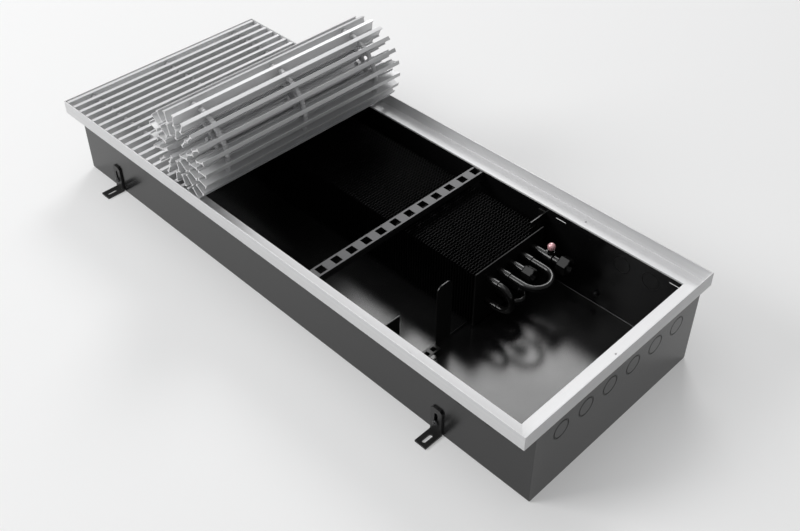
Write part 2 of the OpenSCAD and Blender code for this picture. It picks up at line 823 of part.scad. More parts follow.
// One slat with its row of spacers, round the slat's middle
module slat_with_spacers() {
  color(anodised) {
    slat();
    for (row = [0 : spacer_rows - 1]) translate([0, spacer_y(row), 0]) spacer();
  }
}

// The slats that lie flat in the frame
module laid_grille() {
  for (i = [0 : laid_slats - 1])
    translate([first_slat_x + i * slat_pitch, 0, slat_mid_z]) slat_with_spacers();
}

// Slat n of the roll
module rolled_slat(n) {
  at = slat_at(n);
  translate([at[0], 0, at[1]]) rotate([0, -tilt(n), 0]) slat_with_spacers();
}

trough();
end_wall_near();
end_wall_far();
frame_sides();
frame_ends();
cross_beam();
brackets();
fin_pack();
end_plates();
core_tubes();
loop_bend();
near_bends();
far_bends();
return_tail();
return_nut();
supply_tee();
supply_nut();
vent_valve();
vent_cap();
foot_near_left();
foot_near_right();
foot_far_left();
foot_far_right();
foot_screws();
laid_grille();
for (n = [1 : rolled_slats])
  rolled_slat(n);
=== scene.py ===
# %% [markdown]
# # A trench convector heater
# This heater is let into a floor. It is a long steel trough with a finned water exchanger in it. Cold
# air falls in on one side, the fins warm it, and it rises through a grille of loose slats. Here the
# grille is rolled back, as it is for cleaning.
# The solids come from a CAD model, which is the fixed frame. Each solid gets a finish, and a piece
# whose fine shape the solids leave out is made anew, in the same place.

# %% Load the fixed frame
import json
import math

import bmesh
import bpy
import numpy as np
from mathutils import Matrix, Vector


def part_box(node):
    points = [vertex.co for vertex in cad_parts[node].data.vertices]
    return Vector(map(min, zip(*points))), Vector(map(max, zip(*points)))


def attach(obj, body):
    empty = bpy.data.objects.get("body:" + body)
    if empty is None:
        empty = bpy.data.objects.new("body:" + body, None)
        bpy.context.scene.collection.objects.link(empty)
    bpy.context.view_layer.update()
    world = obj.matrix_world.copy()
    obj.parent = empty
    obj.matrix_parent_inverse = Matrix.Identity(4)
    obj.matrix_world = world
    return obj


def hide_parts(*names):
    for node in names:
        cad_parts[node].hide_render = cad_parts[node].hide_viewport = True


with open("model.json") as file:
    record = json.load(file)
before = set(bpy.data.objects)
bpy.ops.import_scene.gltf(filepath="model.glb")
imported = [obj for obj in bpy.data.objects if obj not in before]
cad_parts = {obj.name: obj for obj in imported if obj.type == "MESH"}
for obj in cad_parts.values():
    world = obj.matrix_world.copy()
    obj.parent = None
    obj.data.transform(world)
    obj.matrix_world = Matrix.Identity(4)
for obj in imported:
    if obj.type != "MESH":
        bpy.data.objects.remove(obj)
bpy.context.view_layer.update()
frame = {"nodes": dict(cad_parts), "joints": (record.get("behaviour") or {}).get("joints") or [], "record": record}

MM = 0.001
BODY = "trench"

# %% [markdown]
# ## From arrays to meshes
# A surface can be drawn by hand, but the parts of a heater are pressed, drawn and turned, and each
# has a plain formula. So every new piece starts as an array of points on a grid. One helper turns a
# grid into four-sided faces, one joins several shells, and one puts the arrays into a mesh.

# %% Faces of a grid
def grid_faces(rows, columns, close_rows=False, close_columns=False):
    """Each face joins a point, the next one in its row, and the same two in the next row. A closed
    direction joins its last line to its first again."""
    row = np.arange(rows if close_rows else rows - 1)
    column = np.arange(columns if close_columns else columns - 1)
    row, column = (a.ravel() for a in np.meshgrid(row, column, indexing="ij"))
    next_row, next_column = (row + 1) % rows, (column + 1) % columns
    return np.stack([row * columns + column, row * columns + next_column,
                     next_row * columns + next_column, next_row * columns + column], axis=1)


def join_shells(shells):
    """Puts several (points, faces) pairs in one: each shell's faces count on from the points of the
    shells before it."""
    starts = np.cumsum([0] + [len(points) for points, _ in shells])
    faces = [[start + int(i) for i in face] for start, (_, part) in zip(starts, shells) for face in part]
    return np.concatenate([points for points, _ in shells]), faces


# %% A mesh object from arrays
def make_piece(name, shell, finishes, body=BODY, which=None, sharp=50):
    """Makes an object at the origin from a shell in millimetres, turns its faces outwards, and lets
    it ride on a body. Edges that turn by more than `sharp` degrees stay sharp, and the flat faces
    keep their own shading through weighted normals. `which` gives each face's finish."""
    points, faces = shell
    mesh = bpy.data.meshes.new(name)
    mesh.from_pydata((np.asarray(points) * MM).tolist(), [], [list(map(int, f)) for f in faces])
    for finish in finishes:
        mesh.materials.append(finish)
    if which is not None:
        mesh.polygons.foreach_set("material_index", np.asarray(which, np.int32))
    work = bmesh.new()
    work.from_mesh(mesh)
    bmesh.ops.recalc_face_normals(work, faces=work.faces)
    work.to_mesh(mesh)
    work.free()
    mesh.shade_smooth()
    mesh.set_sharp_from_angle(angle=math.radians(sharp))
    piece = bpy.data.objects.new(name, mesh)
    bpy.context.scene.collection.objects.link(piece)
    weighted = piece.modifiers.new("weighted_normals", "WEIGHTED_NORMAL")
    weighted.keep_sharp = True
    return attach(piece, body)


# %% [markdown]
# ## Outlines, bars and turned shapes
# Most of the metal here is one outline carried along a line: the frame, the slats, the nuts. Real
# edges are never quite sharp, and a thin rounding is what catches the light, so one helper rounds
# all corners of an outline at once. Another carries an outline from one end to the other, and a
# third turns an outline round an axis, as a lathe does.

# %% Rounded outline
def rounded(outline, radii, steps=3):
    """Rounds every corner of a closed outline. The arc's centre lies on the corner's bisector, at
    radius / sin(half the corner's angle). The arc touches both sides, and its points are spread
    evenly over its turn."""
    corner = np.asarray(outline, float)
    radius = np.broadcast_to(np.asarray(radii, float), len(corner))[:, None]
    back = np.roll(corner, 1, 0) - corner
    ahead = np.roll(corner, -1, 0) - corner
    back /= np.linalg.norm(back, axis=1, keepdims=True)
    ahead /= np.linalg.norm(ahead, axis=1, keepdims=True)
    half = np.arccos(np.clip((back * ahead).sum(1), -1, 1))[:, None] / 2
    middle = back + ahead
    centre = corner + middle / np.linalg.norm(middle, axis=1, keepdims=True) * radius / np.sin(half)
    start = corner + back * radius / np.tan(half) - centre
    end = corner + ahead * radius / np.tan(half) - centre
    turn = (math.pi - 2 * half)[:, None]
    share = np.linspace(0, 1, steps + 1)[None, :, None]
    arc = (start[:, None] * np.sin((1 - share) * turn) + end[:, None] * np.sin(share * turn)) / np.sin(turn)
    return (centre[:, None] + arc).reshape(-1, 2)


# %% Carried and turned shapes
def carried(start, end):
    """Shell between two copies of one closed outline, given as arrays of points in space: a side
    face for each of the outline's sides, and a flat face at either end."""
    count = len(start)
    faces = grid_faces(2, count, close_columns=True).tolist()
    faces += [list(range(count)), list(range(count, 2 * count))]
    return np.concatenate([start, end]), faces


def turned(along, radius, sides, axis=(1, 0, 0), at=(0, 0, 0), closed=False):
    """Turns a profile round an axis: at the distance `along` the axis the shell's radius is
    `radius`, either a number for all sides or one value for each side. A closed profile is a ring,
    and an open one starts and ends on the axis."""
    axis = np.asarray(axis, float)
    first = np.array([0, 0, 1.0]) if abs(axis[2]) < 0.5 else np.array([1.0, 0, 0])
    second = np.cross(axis, first)
    angle = np.arange(sides) * 2 * math.pi / sides
    spoke = np.cos(angle)[:, None] * first + np.sin(angle)[:, None] * second
    along = np.broadcast_to(np.asarray(along, float).reshape(len(along), -1), (len(along), sides))
    radius = np.broadcast_to(np.asarray(radius, float).reshape(len(radius), -1), (len(radius), sides))
    points = along[..., None] * axis + radius[..., None] * spoke + np.asarray(at, float)
    faces = grid_faces(len(along), sides, close_rows=closed, close_columns=True).tolist()
    if not closed:
        faces += [list(range(sides)), list(range((len(along) - 1) * sides, len(along) * sides))]
    return points.reshape(-1, 3), faces


print("a square with round corners has", len(rounded([[0, 0], [1, 0], [1, 1], [0, 1]], 0.2)), "points")

# %% [markdown]
# ## Effects that several finishes share
# Powder coat has a skin like an orange's, drawn aluminium has fine lines along its length, and
# anything in a floor gathers a little dust on its upper faces. Each effect could be built again in
# every material. A node group is better: it is built once, it has named inputs, and each material
# sets its own values. The knock-outs in the walls get rings of painted shade round their cuts. Only
# one finish has those, but they take many nodes, so they are a group as well. The groups put out
# heights, shades and masks only.

# %% Building nodes
def add(tree, kind, settings=None, **inputs):
    """Adds a shader node. A value that is a socket is linked, and any other is set."""
    made = tree.nodes.new("ShaderNode" + kind)
    for key, value in (settings or {}).items():
        setattr(made, key, value)
    for key, value in inputs.items():
        socket = made.inputs[key.replace("_", " ")]
        if isinstance(value, bpy.types.NodeSocket):
            tree.links.new(value, socket)
        else:
            socket.default_value = value
    return made


def calculate(tree, operation, first, second):
    """Adds a Math node with two operands, each a number or a socket."""
    made = tree.nodes.new("ShaderNodeMath")
    made.operation = operation
    for socket, value in zip(made.inputs, (first, second)):
        if isinstance(value, bpy.types.NodeSocket):
            tree.links.new(value, socket)
        else:
            socket.default_value = value
    return made.outputs[0]


def blend_colours(tree, share, first, second):
    """Adds a colour mix: `first` where share is 0 and `second` where it is 1."""
    made = tree.nodes.new("ShaderNodeMix")
    made.data_type = "RGBA"
    sockets = {s.identifier: s for s in made.inputs}
    for name, value in (("Factor_Float", share), ("A_Color", first), ("B_Color", second)):
        if isinstance(value, bpy.types.NodeSocket):
            tree.links.new(value, sockets[name])
        else:
            sockets[name].default_value = (*value, 1) if name != "Factor_Float" else value
    return next(s for s in made.outputs if s.identifier == "Result_Color")


def start_group(name, inputs, outputs):
    """Starts a node group with named number inputs (name: value) and number outputs."""
    group = bpy.data.node_groups.new(name, "ShaderNodeTree")
    for title, value in inputs.items():
        kind = "NodeSocketVector" if isinstance(value, tuple) else "NodeSocketFloat"
        group.interface.new_socket(title, in_out="INPUT", socket_type=kind).default_value = value
    for title in outputs:
        group.interface.new_socket(title, in_out="OUTPUT", socket_type="NodeSocketFloat")
    return group, group.nodes.new("NodeGroupInput"), group.nodes.new("NodeGroupOutput")


# %% The three shared effects and the rings of painted shade
def build_powder_skin():
    """Height: bumps about a millimetre apart. Shade: soft clouds a hand wide."""
    group, given, out = start_group("powder_skin", {"Bumps": 1100.0, "Clouds": 9.0}, ["Height", "Shade"])
    place = add(group, "TexCoord").outputs["Object"]
    bumps = add(group, "TexNoise", Vector=place, Scale=given.outputs["Bumps"], Detail=1.5)
    clouds = add(group, "TexNoise", Vector=place, Scale=given.outputs["Clouds"], Detail=4.0)
    group.links.new(bumps.outputs["Fac"], out.inputs["Height"])
    group.links.new(clouds.outputs["Fac"], out.inputs["Shade"])
    return group


def build_drawn_lines():
    """Noise squeezed across the drawing direction: many cells a metre across it, few along it."""
    group, given, out = start_group("drawn_lines", {"Cells": (5.0, 1500.0, 1500.0)}, ["Height", "Shade"])
    place = add(group, "TexCoord").outputs["Object"]
    squeezed = add(group, "Mapping", Vector=place, Scale=given.outputs["Cells"]).outputs[0]
    lines = add(group, "TexNoise", Vector=squeezed, Scale=1.0, Detail=3.0, Roughness=0.6)
    streaks = add(group, "TexNoise", Vector=squeezed, Scale=0.11, Detail=2.0)
    group.links.new(lines.outputs["Fac"], out.inputs["Height"])
    group.links.new(streaks.outputs["Fac"], out.inputs["Shade"])
    return group


def build_settled_dust():
    """Mask: 1 on level faces that look up, 0 on upright ones, broken up by noise, times Amount."""
    group, given, out = start_group("settled_dust", {"Amount": 0.05}, ["Mask"])
    source = add(group, "TexCoord")
    up = add(group, "SeparateXYZ", Vector=source.outputs["Normal"]).outputs["Z"]
    level = add(group, "MapRange", {"clamp": True}, Value=up, From_Min=0.6, From_Max=1.0).outputs[0]
    patches = add(group, "TexNoise", Vector=source.outputs["Object"], Scale=22.0, Detail=6.0)
    broken = add(group, "MapRange", {"clamp": True}, Value=patches.outputs["Fac"], From_Min=0.35,
                 From_Max=0.75).outputs[0]
    mask = calculate(group, "MULTIPLY", calculate(group, "MULTIPLY", level, broken), given.outputs["Amount"])
    group.links.new(mask, out.inputs["Mask"])
    return group


# A point that lies further out than this is on an outer face: of an end wall, of the far long wall.
END_FACE_FROM, SIDE_FACE_FROM = 0.4984, 0.1744
# Each wall's row of knock-outs: a start between two of them, the row's middle and half its length.
END_ROW, SIDE_ROW = (0.0, 0.0, 0.15), (0.349, 0.399, 0.05)


def build_cut_shade_rings():
    """Mask: 1 on a band of painted shade round the cuts of the knock-outs, on the walls' outer faces.
    A row of rings repeats along a wall, so the distance to the nearest ring's middle is
    (fraction((u - start) / pitch) - 1/2) times the pitch. With the height over the row it gives the
    radius r, and the mask is 1 where r is within half the shaded band's width of the ring's radius.
    End walls are measured along Y and the far long wall along X."""
    group, given, out = start_group("cut_shade_rings", {"Pitch": 0.05, "Row height": 0.101, "Radius": 0.014,
                                                    "Half shade band": 0.0018}, ["Mask"])
    place = add(group, "SeparateXYZ", Vector=add(group, "TexCoord").outputs["Object"]).outputs
    pitch, radius = given.outputs["Pitch"], given.outputs["Radius"]
    height = calculate(group, "SUBTRACT", place["Z"], given.outputs["Row height"])

    def row(along, start, middle, half):
        steps = calculate(group, "DIVIDE", calculate(group, "SUBTRACT", along, start), pitch)
        share = calculate(group, "FRACT", steps, 0)
        side = calculate(group, "MULTIPLY", calculate(group, "SUBTRACT", share, 0.5), pitch)
        square = calculate(group, "ADD", calculate(group, "MULTIPLY", side, side),
                           calculate(group, "MULTIPLY", height, height))
        off = calculate(group, "SUBTRACT", calculate(group, "SQRT", square, 0), radius)
        in_shade_band = calculate(group, "LESS_THAN", calculate(group, "ABSOLUTE", off, 0), given.outputs["Half shade band"])
        from_middle = calculate(group, "ABSOLUTE", calculate(group, "SUBTRACT", along, middle), 0)
        return calculate(group, "MULTIPLY", in_shade_band, calculate(group, "LESS_THAN", from_middle, half))

    on_end = calculate(group, "GREATER_THAN", calculate(group, "ABSOLUTE", place["X"], 0), END_FACE_FROM)
    on_side = calculate(group, "GREATER_THAN", place["Y"], SIDE_FACE_FROM)
    ends = calculate(group, "MULTIPLY", row(place["Y"], *END_ROW), on_end)
    long_wall = calculate(group, "MULTIPLY", row(place["X"], *SIDE_ROW), on_side)
    group.links.new(calculate(group, "MAXIMUM", ends, long_wall), out.inputs["Mask"])
    return group


POWDER_SKIN, DRAWN_LINES, SETTLED_DUST = build_powder_skin(), build_drawn_lines(), build_settled_dust()
# Rings of painted shade: a band round each knock-out's cut is darkened to black, for the shade inside the narrow
# cut.
CUT_SHADE_RINGS = build_cut_shade_rings()
print("node groups:", [g.name for g in bpy.data.node_groups])

# %% [markdown]
# ## Finishes
# Two families cover nearly all of the heater. Coated steel and copper is dark, a little glossy and
# fully covered, so its shader is a dielectric with a dark base colour. Bare and anodised metal is
# metallic, with fine drawn lines. Each family is one function, and every finish is one call of it.

# %% Coated and metallic finishes
DUST, LINE_DEPTH = (0.42, 0.40, 0.37), 0.004


def group_node(tree, group, **inputs):
    """Places a node group in a material and sets its inputs."""
    made = tree.nodes.new("ShaderNodeGroup")
    made.node_tree = group
    for key, value in inputs.items():
        made.inputs[key].default_value = value
    return made


def start_finish(name):
    """An empty material with its Principled shader linked to the output."""
    finish = bpy.data.materials.new(name)
    finish.use_nodes = True
    return finish, finish.node_tree, finish.node_tree.nodes["Principled BSDF"]


def spread(tree, shade, low, high):
    """Turns a noise value, which stays near 0.5, into a number between low and high."""
    return add(tree, "MapRange", {"clamp": True}, Value=shade, From_Min=0.3, From_Max=0.7,
               To_Min=low, To_Max=high).outputs[0]


def coated(name, dark, light, roughness, ior=1.5, bumps=1100.0, depth=0.012, dust=0.04):
    """Coated metal: two close shades in clouds, an orange skin `depth` millimetres deep, and dust."""
    finish, tree, shader = start_finish(name)
    skin = group_node(tree, POWDER_SKIN, Bumps=bumps)
    mask = group_node(tree, SETTLED_DUST, Amount=dust).outputs["Mask"]
    shade = spread(tree, skin.outputs["Shade"], 0, 1)
    colour = blend_colours(tree, mask, blend_colours(tree, shade, dark, light), DUST)
    tree.links.new(colour, shader.inputs["Base Color"])
    tree.links.new(spread(tree, skin.outputs["Shade"], roughness - 0.03, roughness + 0.03),
                   shader.inputs["Roughness"])
    bump = add(tree, "Bump", Height=skin.outputs["Height"], Strength=1.0, Distance=depth * MM)
    tree.links.new(bump.outputs[0], shader.inputs["Normal"])
    shader.inputs["IOR"].default_value = ior
    return finish


def drawn(name, dark, light, roughness, cells, metallic=1.0):
    """Bare or anodised metal with lines along its length: shade and roughness vary in streaks. The
    clear oxide of anodised metal scatters some light before it reaches the metal, so that one is
    less than fully metallic."""
    finish, tree, shader = start_finish(name)
    lines = group_node(tree, DRAWN_LINES, Cells=cells)
    shade = spread(tree, lines.outputs["Shade"], 0, 1)
    tree.links.new(blend_colours(tree, shade, dark, light), shader.inputs["Base Color"])
    tree.links.new(spread(tree, lines.outputs["Shade"], roughness - 0.04, roughness + 0.04),
                   shader.inputs["Roughness"])
    bump = add(tree, "Bump", Height=lines.outputs["Height"], Strength=1.0, Distance=LINE_DEPTH * MM)
    tree.links.new(bump.outputs[0], shader.inputs["Normal"])
    shader.inputs["Metallic"].default_value = metallic
    return finish


# %% The heater's finishes
ALONG_X, ALONG_Y = (5.0, 1500.0, 1500.0), (1500.0, 5.0, 1500.0)
FINISH = {
    "trough_coat": coated("trough_coat", (0.0035, 0.0035, 0.0036), (0.0060, 0.0060, 0.0062), 0.22,
                          ior=1.56, dust=0.002),
    "bracket_coat": coated("bracket_coat", (0.003, 0.003, 0.003), (0.006, 0.006, 0.006), 0.36, dust=0.01),
    "fin_lacquer": coated("fin_lacquer", (0.0015, 0.0015, 0.0015), (0.0030, 0.0030, 0.0030), 0.50,
                          ior=1.35, bumps=600.0, dust=0.0),
    "pipe_lacquer": coated("pipe_lacquer", (0.0025, 0.0025, 0.0025), (0.0055, 0.0054, 0.0053), 0.20, ior=1.48,
                           bumps=500.0, depth=0.006, dust=0.01),
    "foot_coat": coated("foot_coat", (0.006, 0.006, 0.006), (0.010, 0.010, 0.010), 0.36),
    "frame_x": drawn("frame_x", (0.68, 0.68, 0.685), (0.74, 0.74, 0.745), 0.50, ALONG_X, metallic=0.22),
    "frame_y": drawn("frame_y", (0.68, 0.68, 0.685), (0.74, 0.74, 0.745), 0.50, ALONG_Y, metallic=0.35),
    "slat_metal": drawn("slat_metal", (0.74, 0.74, 0.745), (0.82, 0.82, 0.825), 0.48, ALONG_Y, metallic=0.42),
    "sleeve_metal": drawn("sleeve_metal", (0.62, 0.62, 0.625), (0.70, 0.70, 0.705), 0.46,
                          (900.0, 60.0, 900.0), metallic=0.35),
    "beam_zinc": drawn("beam_zinc", (0.075, 0.075, 0.077), (0.110, 0.110, 0.112), 0.46, ALONG_Y),
    "screw_zinc": drawn("screw_zinc", (0.06, 0.06, 0.062), (0.11, 0.11, 0.112), 0.35,
                        (1400.0, 1400.0, 1400.0)),
}
print("finishes:", ", ".join(FINISH))


# %% [markdown]
# Each knock-out is a disc inside a ring-shaped cut, and hardly any light comes back out of such a
# narrow cut. The shading round it could be left to the cut alone, but at this size it would be too
# faint to see. So a band round the cut gets painted shade. In the shader that is a metal of black
# colour, which reflects almost nothing when it is seen from the front, and the ring's mask drives
# both the colour and how metallic the surface is.

# %% Painted shade round the knock-outs' cuts
def paint_cut_shade(finish):
    """Puts the rings of painted shade round the knock-outs' cuts over a coated finish: the colour is
    blended to black by the mask, and the mask is the metallic value."""
    tree = finish.node_tree
    shader = tree.nodes["Principled BSDF"]
    mask = group_node(tree, CUT_SHADE_RINGS).outputs["Mask"]
    under = shader.inputs["Base Color"].links[0].from_socket
    tree.links.new(blend_colours(tree, mask, under, (0, 0, 0)), shader.inputs["Base Color"])
    tree.links.new(mask, shader.inputs["Metallic"])


# The trough's finish gets the rings of painted shade round the knock-outs' cuts.
paint_cut_shade(FINISH["trough_coat"])

# %% [markdown]
# The vent's cap is a glossy red plastic ball. Moulded plastic has no lines and no thick skin, only a
# slight unevenness in its gloss. The cap looks bright and pale, and two values give it that: a
# clear coat, and a metallic share, whose reflections take the cap's own colour.

# %% Cap plastic
def cap_plastic():
    """Red plastic: soft clouds of shade and gloss."""
    finish, tree, shader = start_finish("cap_plastic")
    skin = group_node(tree, POWDER_SKIN, Bumps=350.0, Clouds=120.0)
    shade = spread(tree, skin.outputs["Shade"], 0, 1)
    tree.links.new(blend_colours(tree, shade, (0.82, 0.42, 0.45), (0.92, 0.54, 0.57)),
                   shader.inputs["Base Color"])
    tree.links.new(spread(tree, skin.outputs["Shade"], 0.20, 0.28), shader.inputs["Roughness"])
    bump = add(tree, "Bump", Height=skin.outputs["Height"], Strength=1.0, Distance=0.006 * MM)
    tree.links.new(bump.outputs[0], shader.inputs["Normal"])
    shader.inputs["IOR"].default_value = 1.6
    shader.inputs["Metallic"].default_value = 0.35
    shader.inputs["Coat Weight"].default_value = 1.0
    shader.inputs["Coat Roughness"].default_value = 0.1
    return finish


FINISH["cap_plastic"] = cap_plastic()

# %% Finishes of the CAD nodes that stay
NODE_FINISH = {
    "trough": "trough_coat", "end_wall_near": "trough_coat", "end_wall_far": "trough_coat",
    "cross_beam": "beam_zinc", "brackets": "bracket_coat", "end_plates": "fin_lacquer",
    "core_tubes": "pipe_lacquer", "loop_bend": "pipe_lacquer", "near_bends": "pipe_lacquer",
    "far_bends": "pipe_lacquer", "return_tail": "pipe_lacquer", "supply_tee": "pipe_lacquer",
    "vent_valve": "pipe_lacquer", "foot_near_left": "foot_coat", "foot_near_right": "foot_coat",
    "foot_far_left": "foot_coat", "foot_far_right": "foot_coat",
}
for name, finish in NODE_FINISH.items():
    solid = frame["nodes"][name]
    solid.data.materials.clear()
    solid.data.materials.append(FINISH[finish])
print("solids that stay:", len(NODE_FINISH))

# %% [markdown]
# ## The frame
# The frame is an aluminium extrusion with an upright lip and a ledge, mitred at its corners. The
# solids have its true section but dead sharp edges. So the section's corners are rounded, and it is
# carried along each side. A mitre cuts at 45 degrees: a point that lies deeper in the section ends
# as much earlier along the side. A hair's gap is left at each mitre, as between real bars.

# %% Frame section
low, high = (np.array(corner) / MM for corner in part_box("frame_sides"))
HALF_L, HALF_W = high[0], high[1]
FRAME_LOW, FRAME_HIGH = low[2], high[2]
LEDGE_W, LEDGE_DROP, LIP_T, MITRE_GAP = 27.0, 20.5, 2.0, 0.08
ledge_top = FRAME_HIGH - LEDGE_DROP
frame_section = rounded([[0, FRAME_LOW], [LEDGE_W, FRAME_LOW], [LEDGE_W, ledge_top], [LIP_T, ledge_top],
                         [LIP_T, FRAME_HIGH], [0, FRAME_HIGH]], [0.4, 0.4, 0.5, 0.8, 0.5, 0.6])


def frame_bar(half_length, inset, turns):
    """One bar of the frame, its outer face at the distance `inset` from the middle. Its half length
    at the depth u into the section is half_length - u - gap. `turns` quarter turns put it in place."""
    depth, height = frame_section.T
    reach = half_length - depth - MITRE_GAP
    ends = [np.stack([side * reach, depth - inset, height], axis=1) for side in (-1, 1)]
    points, faces = carried(*ends)
    cos, sin = round(math.cos(turns * math.pi / 2)), round(math.sin(turns * math.pi / 2))
    turned_points = np.stack([points[:, 0] * cos - points[:, 1] * sin,
                              points[:, 0] * sin + points[:, 1] * cos, points[:, 2]], axis=1)
    return turned_points, faces


# %% [markdown]
# The ledge has a few small screw holes. A hole could be left out of the outline, but it crosses the
# ledge and not the section, so it is cut with a Boolean modifier, and the modifier's result is then
# kept as the mesh.

# %% Frame bars with their screw holes
HOLE_D, HOLE_IN, HOLE_X, DRILL_PAST = 2.6, 15.0, 297.0, 2.0


def keep_modifiers(piece):
    """Replaces the piece's mesh by what its modifiers make of it, and takes the modifiers off."""
    bpy.context.view_layer.update()
    shown = piece.evaluated_get(bpy.context.evaluated_depsgraph_get())
    mesh = bpy.data.meshes.new_from_object(shown)
    piece.modifiers.clear()
    piece.data = mesh


def drill(piece, places):
    """Cuts upright holes of the ledge's size through the piece."""
    ends = [FRAME_LOW - DRILL_PAST, ledge_top + DRILL_PAST]
    rods = [turned(ends, [HOLE_D / 2] * 2, 24, axis=(0, 0, 1), at=(x, y, 0)) for x, y in places]
    cutter = make_piece("cutter", join_shells(rods), [])
    piece.modifiers.clear()
    cut = piece.modifiers.new("holes", "BOOLEAN")
    cut.operation, cut.solver, cut.object = "DIFFERENCE", "EXACT", cutter
    weighted = piece.modifiers.new("weighted_normals", "WEIGHTED_NORMAL")
    weighted.keep_sharp = True
    keep_modifiers(piece)
    bpy.data.objects.remove(cutter)


hole_y, hole_end_x = HALF_W - HOLE_IN, HALF_L - HOLE_IN
bars = {"frame_sides": ([frame_bar(HALF_L, HALF_W, t) for t in (0, 2)], "frame_x",
                        [(sx * HOLE_X, sy * hole_y) for sx in (-1, 1) for sy in (-1, 1)]),
        "frame_ends": ([frame_bar(HALF_W, HALF_L, t) for t in (1, 3)], "frame_y",
                       [(-hole_end_x, 0), (hole_end_x, 0)])}
for node, (shells, finish, places) in bars.items():
    piece = make_piece(node + "_bars", join_shells(shells), [FINISH[finish]])
    drill(piece, places)
    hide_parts(node)
    print(piece.name, len(piece.data.polygons), "faces")

# %% [markdown]
# ## Slats and sleeves
# The grille is a row of slats of a double-T section, strung on three lines of sleeves. A sleeve has
# a round end that turns in the hollow of the next one, so that the grille rolls up. The solids have
# 16 laid slats and 35 rolled ones, and one more laid slat is drawn here, at the frame's end. All
# slats share one rounded section. What differs is where a slat stands. The laid ones lie side by
# side, and the rolled ones follow a spiral whose radius falls by one layer in each turn.

# %% Where the slats stand
PITCH, SLAT_LENGTH, SLAT_H, FLANGE_W, FLANGE_T, WEB_T = 19.0, 394.0, 19.0, 6.5, 1.7, 1.8
LAID, ROLLED, LAYER_GAP, CORE_R, EASE = 16, 35, 2.3, 21.5, math.radians(9)
CLOSE_ENOUGH = 0.2


def spiral(first_middle):
    """Middles and tilts of the rolled slats. On the spiral r = R - f a, where f is a layer's height
    over a full turn, the length to the angle a is s = R a - f a^2 / 2. So the angle at the length s
    is (R - sqrt(R^2 - 2 f s)) / f. Each middle lies half a pitch along the tilt before it and half a
    pitch along its own from the last middle. The first slats are eased by a few degrees."""
    fall = (SLAT_H + LAYER_GAP) / (2 * math.pi)
    outer = math.sqrt(CORE_R ** 2 + 2 * fall * ROLLED * PITCH)
    length = np.arange(ROLLED + 1) * PITCH
    tilt = (outer - np.sqrt(outer ** 2 - 2 * fall * length)) / fall - EASE
    tilt[0] = 0
    heading = np.stack([np.cos(tilt), np.sin(tilt)], axis=1)
    steps = (heading[:-1] + heading[1:]) * PITCH / 2
    return first_middle + np.cumsum(steps, axis=0), tilt[1:]


first_hinge = next(np.array(j["pos_m"]) / MM for j in frame["joints"] if j["name"] == "slat_1_hinge")
last_laid = first_hinge[[0, 2]] - [PITCH / 2, 0]
rolled_middle, tilt = spiral(last_laid)
home = {node: body for body, nodes in frame["record"]["behaviour"]["bodies"].items() for node in nodes}
print(LAID, "laid slats and one more,", ROLLED, "rolled ones, the last turned by",
      round(math.degrees(tilt[-1]), 1),
      "degrees, at", rolled_middle[-1].round(1))

# %% One slat with its sleeves
SPACER_ROWS, SPACER_R, BALL_R, CUP_R, NECK_R = (-150.0, 0.0, 150.0), 4.5, 4.005, 4.305, 3.285
CUP_LIP, SHOULDER, CHAMFER, END_SET_BACK = 1.485, 3.195, 0.3, 0.5


def slat_shell():
    """The double-T outline, rounded, carried along the slat's length, round the slat's middle."""
    f, t, w, h = FLANGE_W / 2, SLAT_H / 2 - FLANGE_T, WEB_T / 2, SLAT_H / 2
    quarter = [[f, -h], [f, -t], [w, -t], [w, t], [f, t], [f, h]]
    outline = rounded(quarter + [[-x, z] for x, z in reversed(quarter)],
                      [0.35, 0.35, 0.5, 0.5, 0.35, 0.35] * 2, steps=2)
    x, z = outline.T
    return carried(*[np.stack([x, np.full_like(x, side * SLAT_LENGTH / 2), z], axis=1)
                     for side in (-1, 1)])


def sleeve_shell(row_y, end_at=None):
    """A sleeve along X. Its hollow end is part of a ball of radius CUP_R round -PITCH / 2, and its
    round end a ball of radius BALL_R round PITCH / 2, on a neck. The sleeve of the grille's first
    slat has a flat end at `end_at` instead of the hollow one."""
    hollow = np.linspace(0.05, math.acos(CUP_LIP / CUP_R), 4)
    ball = np.linspace(math.pi - math.asin(NECK_R / BALL_R), 0.05, 6)
    along = np.concatenate([-PITCH / 2 + CUP_R * np.cos(hollow),
                            [CUP_LIP - PITCH / 2, CUP_LIP - PITCH / 2 + CHAMFER,
                             PITCH / 2 - SHOULDER - CHAMFER, PITCH / 2 - SHOULDER, PITCH / 2 - SHOULDER],
                            PITCH / 2 + BALL_R * np.cos(ball)])
    radius = np.concatenate([CUP_R * np.sin(hollow),
                             [SPACER_R - CHAMFER, SPACER_R, SPACER_R, SPACER_R - CHAMFER, NECK_R],
                             BALL_R * np.sin(ball)])
    if end_at is not None:
        keep = slice(len(hollow) + 2, None)
        along = np.concatenate([[end_at, end_at + CHAMFER], along[keep]])
        radius = np.concatenate([[SPACER_R - CHAMFER, SPACER_R], radius[keep]])
    return turned(along, radius, 16, at=(0, row_y, 0))


slat = slat_shell()
sleeves = join_shells([sleeve_shell(y) for y in SPACER_ROWS])
one = join_shells([slat, sleeves])
one_which = [0] * len(slat[1]) + [1] * len(sleeves[1])
print("a slat has", len(slat[1]), "faces and its sleeves", len(sleeves[1]))


# %% Placing the slats
def stand(shell, middle, angle):
    """Turns a shell about Y by `angle`, its X axis towards the heading, and moves it to a middle."""
    points, faces = shell
    x, y, z = points.T
    cos, sin = math.cos(angle), math.sin(angle)
    return np.stack([middle[0] + x * cos - z * sin, y, middle[1] + x * sin + z * cos], axis=1), faces


